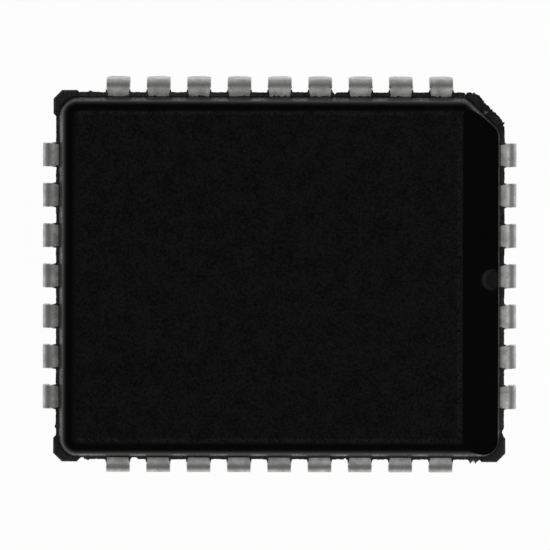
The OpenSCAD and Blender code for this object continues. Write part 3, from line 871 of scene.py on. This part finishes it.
def lead_surface(seat, draw, settings):
    """Skin of one J lead: a rounded rectangle carried along the lead's path. Gives its points, their
    normals and the values that its finish reads.

    Round the section, each of four corner arcs stands at plus or minus the half width across and the
    half thickness through. The arcs move in and out with the width, and the section turns with the
    path's normal. At the outer end of a cut dam bar stub the upper arcs deepen to straight bevels,
    which look outwards and aside.
    """
    edge = seat["edge"]
    rings, changes = lead_stations(seat["tip_end"] - edge, seat["lean"], settings)
    out, height, normal_out, normal_up = (v[:, None] for v in lead_path(rings, seat["lean"], settings))
    drift = np.interp(rings, changes[:2], [seat["tip_place"] - seat["place"], 0.0])[:, None]
    stub_start, _, stub_end, stub_foot = stub_places(settings)
    bevel = bevel_places(settings)

    angle, across_sign, through_sign = lead_section()
    cosine, sine = np.cos(angle), np.sin(angle)
    stubs = settings.dam_width / 2 - settings.stub_spread * draw.random(2)
    right, left = (half_widths(rings, changes, stub, settings)[:, None] for stub in stubs)
    spread = STUB_BEVELS[seat["side"]] * (0.5 + 0.7 * draw.random(2))
    share = np.where(across_sign > 0, spread[0], spread[1]) * (through_sign > 0)
    bevelled = share * np.interp(rings, [bevel[0], bevel[-1], stub_foot], [0.0, 1.0, 0.0])[:, None]
    wide = settings.edge_radius + bevelled * (settings.stub_width - settings.edge_radius)
    deep = settings.edge_radius + bevelled * (settings.stub_depth - settings.edge_radius)
    size = 1.0 + np.minimum(bevelled, 1.0) * (np.abs(cosine) + np.abs(sine) - 1.0)
    half = np.where(across_sign > 0, right, left) - wide
    across = across_sign * half + wide * cosine / size
    through = through_sign * (settings.thickness / 2 - deep) + deep * sine / size
    points = turned(
        seat["side"], edge + out + through * normal_out, seat["place"] + drift + across,
        height + through * normal_up,
    )
    points = np.clip(points, np.array(CAD_LOW), np.array(CAD_HIGH))

    facing = np.interp(rings, bevel, [0.0, 1.0, 1.0, 0.0])[:, None] * (share > 0.0) * (np.abs(sine) < 0.95)
    aside, outwards, onwards = BEVEL_FACING
    side_part = cosine + facing * (aside * across_sign - cosine)
    face_part = sine + facing * (outwards - sine)
    long_part = onwards * facing
    normals = turned(
        seat["side"], face_part * normal_out + long_part * normal_up, side_part,
        face_part * normal_up - long_part * normal_out,
    )

    # A third coordinate of its own sets the grain of each lead apart
    apart = 37.0 * draw.random()
    place = np.stack(np.broadcast_arrays(rings[:, None] / MM, across / MM, apart), axis=-1)
    on_stub = (rings > stub_start - 1e-9) & (rings < stub_end + 1e-9)
    cut = np.where(on_stub, 1.0, 0.3)[:, None] * (np.abs(cosine) > 0.4)
    # Painted shade over the bend and upright of the leaning back row
    painted_bend_shade = np.interp(rings, PAINTED_BEND_SHADE_RUN, [0.0, 1.0, 1.0, 0.0])[:, None] * (seat["lean"] > 0.0)
    painted_bend_shade = np.broadcast_to(painted_bend_shade, cut.shape)
    values = {"lead_place": place.reshape(-1, 3), "cut": cut.ravel(), "painted_bend_shade": painted_bend_shade.ravel()}
    return points, normals.reshape(-1, 3), values


def ragged_line(count, draw):
    """A wandering line from -1 to 1: three runs of random values, each finer and weaker, joined by
    straight lines."""
    at = np.linspace(0.0, 1.0, count)
    line = np.zeros(count)
    for knots, weight in ((count // 14 + 2, 0.38), (count // 5 + 2, 0.36), (count // 2 + 2, 0.26)):
        line += weight * np.interp(at, np.linspace(0.0, 1.0, knots), draw.uniform(-1.0, 1.0, knots))
    return line


def flash_strip(start, end, outward, draw, settings, thickness, reach, overlap, ragged):
    """Torn strip of plastic along the edge from start to end, which looks outward.

    The section is flat on top over the ledge, breaks down to a torn tip and comes back underneath.
    reach gives the mean reach at a distance along the strip. The tip follows a wandering line round it,
    and the lift of the top and the torn faces follow two others.
    """
    start, end, outward = (np.asarray(v, float) for v in (start, end, outward))
    length = np.linalg.norm(end - start)
    count = max(8, int(length / settings.step))
    along = np.linspace(0.0, length, count)
    tip = reach(along) + ragged * ragged_line(count, draw)
    top = SHOULDER_HEIGHT + settings.lift * (1.0 + 0.8 * ragged_line(count, draw))
    shed = settings.shed * (1.0 + ragged_line(count, draw))
    bottom = np.full(count, SHOULDER_HEIGHT - thickness - settings.lift)
    back = np.minimum(-overlap, tip - settings.least_width)
    out = np.stack([back, tip - 2.0 * shed, tip - 0.6 * shed, tip, tip - 1.5 * shed, back], axis=1)
    out = np.maximum(out, back[:, None])
    middle = np.full(count, SHOULDER_HEIGHT - settings.tip_depth * thickness)
    height = np.stack([top, top, top - 0.5 * shed, middle, bottom, bottom], axis=1)
    line = start + (end - start) * (along / length)[:, None]
    plan = line[:, None, :] + out[:, :, None] * outward
    return np.concatenate([plan, height[:, :, None]], axis=2)


def gap_reach(length, mean, fillet, lead_first, lead_last, bumps, settings):
    """Reach of the plastic along one gap, as a function of the distance along it.

    It is the mean, and beside a lead more by the fillet, which falls off over its width. Over the root
    of a lead it thins out to the wall. bumps are (place, half width, height) of single burrs and
    notches.
    """
    def reach(along):
        value = np.full_like(along, mean)
        for at_lead, away in ((lead_first, along), (lead_last, length - along)):
            if not at_lead:
                continue
            beside = away - settings.creep
            near = np.clip(1.0 - beside / settings.fillet_width, 0.0, 1.0)
            over = np.clip(-beside / settings.creep, 0.0, 1.0)
            skin = (mean + fillet) * (1.0 - over) - settings.tuck * over ** 2
            value = np.where(beside < 0.0, skin, value + fillet * near ** 2)
        for place, half, height in bumps:
            value = value + height * np.exp(-((along - place) / half) ** 2)
        return value
    return reach


class CHIP_OT_stage(bpy.types.Operator):
    """Lay the pale floor and set the camera, the sky and the soft box"""

    bl_idname = "chip.stage"
    bl_label = "Stage"

    def execute(self, context):
        settings = context.scene.chip_stage
        scene = context.scene
        self.lay_floor(scene, settings)
        self.set_camera(scene, settings)
        self.set_light(scene, settings)
        scene.view_settings.view_transform = "Standard"
        return {"FINISHED"}

    def lay_floor(self, scene, settings):
        half = settings.floor_size / 2
        plan = ((-half, -half), (half, -half), (half, half), (-half, half))
        mesh = bpy.data.meshes.new("floor")
        mesh.from_pydata([(x, y, CAD_LOW.z) for x, y in plan], [], [(0, 1, 2, 3)])
        mesh.materials.append(floor_material(settings))
        floor = bpy.data.objects.new("floor", mesh)
        scene.collection.objects.link(floor)

    def set_camera(self, scene, settings):
        """Nearly straight down, with a lens that shows the view width at the height of the lead
        shoulders."""
        data = bpy.data.cameras.new("camera")
        data.lens = data.sensor_width * settings.camera_distance / settings.view_width
        data.clip_start, data.clip_end = 0.01, 10.0
        camera = bpy.data.objects.new("camera", data)
        facing = Euler((-settings.view_tilt, 0.0, settings.view_roll))
        target = Vector((settings.view_x, settings.view_y, SHOULDER_HEIGHT))
        camera.location = target + facing.to_matrix() @ Vector((0.0, 0.0, settings.camera_distance))
        camera.rotation_euler = facing
        scene.collection.objects.link(camera)
        scene.camera = camera

    def set_light(self, scene, settings):
        """A sky that is dim round the sides and bright straight above, and one soft box that leans to
        the pin 1 side."""
        world = bpy.data.worlds.new("studio")
        world.use_nodes = True
        world.node_tree.nodes.clear()
        wire = Wiring(world.node_tree)
        facing = wire.add("ShaderNodeTexCoord").outputs["Generated"]
        outer, inner = math.cos(1.5 * settings.sky_spread), math.cos(0.5 * settings.sky_spread)
        strength = wire.ramp(wire.axes(facing)["Z"], outer, inner, settings.sky_side, settings.sky_top)
        white = (1.0, 1.0, 1.0, 1.0)
        sky = wire.add("ShaderNodeBackground", {"Color": white, "Strength": strength}).outputs[0]
        wire.add("ShaderNodeOutputWorld", {"Surface": sky})
        scene.world = world
        data = bpy.data.lights.new("soft_box", "AREA")
        data.energy = settings.key_power
        data.shape = "RECTANGLE"
        data.size, data.size_y = settings.key_width, settings.key_length
        lamp = bpy.data.objects.new("soft_box", data)
        lean = settings.key_angle
        away = settings.key_distance
        lamp.location = (away * math.sin(lean), 0.0, away * math.cos(lean))
        lamp.rotation_euler = (0.0, lean, 0.0)
        scene.collection.objects.link(lamp)


class CHIP_OT_moulding(bpy.types.Operator):
    """Finish the moulding: shade its rounded edges evenly and give it its black epoxy"""

    bl_idname = "chip.moulding"
    bl_label = "Moulding"

    def execute(self, context):
        settings = context.scene.chip_moulding
        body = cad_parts["package_body"]
        body.data.shade_smooth()
        weld = body.modifiers.new("join_facets", "WELD")
        weld.merge_threshold = 1e-7
        split = body.modifiers.new("keep_creases", "EDGE_SPLIT")
        split.split_angle = settings.smooth_angle
        body.modifiers.new("even_shading", "WEIGHTED_NORMAL")
        body.data.materials.clear()
        body.data.materials.append(moulding_material(settings))
        return {"FINISHED"}


class CHIP_OT_flash(bpy.types.Operator):
    """Lay the torn strips of plastic between the leads and along the cut corner"""

    bl_idname = "chip.flash"
    bl_label = "Mould flash"

    # Side, place along the side from its middle, half width and height of single burrs and notches, in mm
    BURRS = (
        (0, -4.91, 0.1, -0.06), (0, 4.76, 0.04, -0.05), (1, -6.06, 0.025, -0.07), (1, -5.85, 0.025, -0.06),
        (1, -1.73, 0.03, -0.05), (1, 5.95, 0.06, 0.045), (2, 4.73, 0.05, 0.04), (3, -6.2, 0.09, -0.05),
        (3, -6.02, 0.05, 0.03), (3, -4.56, 0.08, -0.1), (3, 2.07, 0.03, -0.05), (3, 6.02, 0.05, 0.12),
        (3, 6.17, 0.035, 0.09), (3, 6.22, 0.06, 0.05),
    )
    # How much further than the mean the torn edge reaches on each side, in mm
    SIDE_REACH = (0.028, 0.008, -0.012, -0.002)
    # How much of the fillet there is beside the leads of each side
    SIDE_FILLET = (0.5, 1.0, 0.7, 0.9)

    def execute(self, context):
        settings = context.scene.chip_flash
        leads = context.scene.chip_leads
        material = bpy.data.materials.get("black_moulding")
        if material is None:
            raise RuntimeError("finish the moulding before its flash")
        draw = np.random.default_rng(settings.seed)
        seats = lead_seats(leads, settings)
        strips = []
        for side in range(4):
            places = sorted(seat["place"] for seat in seats if seat["side"] == side)
            strips += self.gap_strips(side, places, draw, settings, leads)
            strips += self.root_skins(side, places, draw, settings, leads)
        strips.append(self.cut_corner(draw, settings, leads))
        piece = mesh_piece("mould_flash", strips, material)
        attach(piece, "root")
        return {"FINISHED"}

    def edge_line(self, side, start, end, settings):
        """Two points on the edge of the moulding, at start and end along a side, and the way out of it."""
        edge = side_reach(side, BODY_LOW, BODY_HIGH) - settings.tab_reach
        points = turned(side, np.array([edge, edge]), np.array([start, end]), np.zeros(2))
        outward = turned(side, np.array(1.0), np.array(0.0), np.array(0.0))
        return points[0, :2], points[1, :2], outward[:2]

    def gap_strips(self, side, places, draw, settings, leads):
        """Strips of one side: from its first corner to the first lead, between leads, and on to its
        last corner."""
        low, high = side_span(side, BODY_LOW, BODY_HIGH)
        low, high = low + settings.tab_reach, high - settings.tab_reach
        middle = (low + high) / 2
        over = leads.root_width / 2 - settings.creep
        starts = [low + self.end_run(side, 0, settings)] + [p + over for p in places]
        ends = [p - over for p in places] + [high - self.end_run(side, 1, settings)]
        mean = settings.reach + self.SIDE_REACH[side] * MM
        fillet = settings.fillet * self.SIDE_FILLET[side]
        strips = []
        for k, (start, end) in enumerate(zip(starts, ends)):
            bumps = [(middle + at * MM - start, half * MM, height * MM)
                     for on, at, half, height in self.BURRS if on == side]
            reach = gap_reach(end - start, mean, fillet, k > 0, k < len(places), bumps, settings)
            at_cut = (side, k) in ((0, len(places)), (1, 0))
            strips.append(flash_strip(
                *self.edge_line(side, start, end, settings), draw, settings, leads.thickness, reach,
                settings.corner_overlap if at_cut else settings.overlap, settings.ragged,
            ))
        return strips

    def root_skins(self, side, places, draw, settings, leads):
        """The thin skin over the root of each lead of one side."""
        over = leads.root_width / 2 - settings.creep
        strips = []
        for place in places:
            reach = self.root_reach(2 * over, ragged_line(ROOT_POINTS, draw), settings)
            strips.append(flash_strip(
                *self.edge_line(side, place - over, place + over, settings), draw, settings,
                leads.thickness, reach, settings.overlap, settings.ragged,
            ))
        return strips

    def root_reach(self, length, bites, settings):
        """Reach of the skin over the root of a lead: drawn back, less where the wandering line of bites
        is high."""
        at = np.linspace(0.0, length, len(bites))

        def reach(along):
            return np.interp(along, at, settings.root_ragged * bites) - settings.root_draw
        return reach

    def end_run(self, side, end, settings):
        """Length at the end of a side that has no torn edge: a corner tab, or the cut corner next to
        pin 1."""
        at_cut = (side, end) in ((0, 1), (1, 0))
        return settings.corner_cut if at_cut else settings.tab_run - settings.tab_lap

    def cut_corner(self, draw, settings, leads):
        """The strip along the cut corner."""
        x = BODY_HIGH.x - settings.tab_reach
        y = BODY_HIGH.y - settings.tab_reach
        start, end = (x, y - settings.corner_cut), (x - settings.corner_cut, y)
        slant = (math.sqrt(0.5), math.sqrt(0.5))
        reach = gap_reach(0.0, settings.reach, 0.0, False, False, (), settings)
        return flash_strip(
            start, end, slant, draw, settings, leads.thickness,
            reach, settings.corner_overlap, settings.corner_ragged,
        )


class CHIP_OT_leads(bpy.types.Operator):
    """Form the J leads along their paths, each in place of its plain solid"""

    bl_idname = "chip.leads"
    bl_label = "J leads"

    def execute(self, context):
        settings = context.scene.chip_leads
        material = tin_material(settings)
        draw = np.random.default_rng(settings.seed)
        for seat in lead_seats(settings, context.scene.chip_flash):
            points, normals, values = lead_surface(seat, draw, settings)
            piece = mesh_piece("j_" + seat["name"], [points], material, normals, **values)
            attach(piece, "root")
            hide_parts(seat["name"])
        return {"FINISHED"}


class CHIP_OT_burr(bpy.types.Operator):
    """Leave the torn sliver of metal at the cut end of one tie bar"""

    bl_idname = "chip.burr"
    bl_label = "Tie bar burr"

    def execute(self, context):
        settings = context.scene.chip_burr
        y = BODY_LOW.y + context.scene.chip_flash.tab_reach
        edge = Vector((settings.place, y, SHOULDER_HEIGHT - settings.drop))
        material = plain_finish(
            "torn_metal", settings.colour, roughness=0.4, metallic=1.0, size=0.02, contrast=0.2,
        )
        piece = mesh_piece("tie_bar_burr", [self.sliver(edge, settings)], material)
        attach(piece, "root")
        return {"FINISHED"}

    def sliver(self, edge, settings):
        """A flat four-sided section carried outwards from the edge along a leaning line. It thins to a
        point with the square root of the distance left, and bows upwards by a parabola."""
        share = np.linspace(0.0, 1.0, 13)[:, None]
        corner = np.radians(np.array([45.0, 135.0, 225.0, 315.0]))[None, :]
        thin = np.sqrt(1.0 - 0.97 * share)
        across = settings.width / math.sqrt(2.0) * thin * np.cos(corner)
        through = settings.thickness / math.sqrt(2.0) * thin * np.sin(corner)
        x = edge.x + settings.lean * share + across
        y = edge.y - settings.length * share + 0.0 * corner
        z = edge.z + settings.bow * share * (2.0 - share) + through
        return np.stack([x, y, z], axis=-1)


class CHIP_OT_inside(bpy.types.Operator):
    """Finish what the moulding holds inside: pad, adhesive, die and wires"""

    bl_idname = "chip.inside"
    bl_label = "Inside"

    # Name, colour, roughness, metallic, grain size in mm and contrast of each finish, and the bare colour
    FINISHES = {
        "die_pad": ("copper_sheet", (0.72, 0.46, 0.32), 0.34, 1.0, 0.06, 0.12, (0.16, 0.15, 0.14)),
        "die_attach": ("silver_adhesive", (0.62, 0.62, 0.6), 0.55, 0.3, 0.03, 0.25),
        "die": ("silicon", (0.2, 0.22, 0.28), 0.12, 0.8, 0.2, 0.2),
        "bond_wires": ("gold_wire", (0.9, 0.64, 0.24), 0.2, 1.0, 0.02, 0.08),
    }

    def execute(self, context):
        for name, finish in self.FINISHES.items():
            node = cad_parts[name]
            node.data.materials.clear()
            node.data.materials.append(plain_finish(*finish))
        return {"FINISHED"}


class CHIP_PT_panel(bpy.types.Panel):
    """Lists the pieces of the chip carrier"""

    bl_idname = "CHIP_PT_panel"
    bl_label = "Chip carrier"
    bl_space_type = "VIEW_3D"
    bl_region_type = "UI"
    bl_category = "Chip"

    def draw(self, context):
        for operator in OPERATORS:
            self.layout.operator(operator.bl_idname)
        for group, settings in SETTINGS.items():
            box = self.layout.box()
            for key in settings.__annotations__:
                box.prop(getattr(context.scene, group), key)


SETTINGS = {
    "chip_stage": ChipStageSettings,
    "chip_moulding": ChipMouldingSettings,
    "chip_flash": ChipFlashSettings,
    "chip_leads": ChipLeadSettings,
    "chip_burr": ChipBurrSettings,
}
OPERATORS = (CHIP_OT_stage, CHIP_OT_moulding, CHIP_OT_flash, CHIP_OT_leads, CHIP_OT_burr, CHIP_OT_inside)


def register():
    for group, settings in SETTINGS.items():
        bpy.utils.register_class(settings)
        setattr(bpy.types.Scene, group, PointerProperty(type=settings))
    for operator in OPERATORS:
        bpy.utils.register_class(operator)
    bpy.utils.register_class(CHIP_PT_panel)


def unregister():
    bpy.utils.unregister_class(CHIP_PT_panel)
    for operator in reversed(OPERATORS):
        bpy.utils.unregister_class(operator)
    for group, settings in SETTINGS.items():
        delattr(bpy.types.Scene, group)
        bpy.utils.unregister_class(settings)


def main():
    register()
    bpy.ops.chip.stage()
    bpy.ops.chip.moulding()
    bpy.ops.chip.flash()
    bpy.ops.chip.leads()
    bpy.ops.chip.burr()
    bpy.ops.chip.inside()


if __name__ == "__main__":
    main()
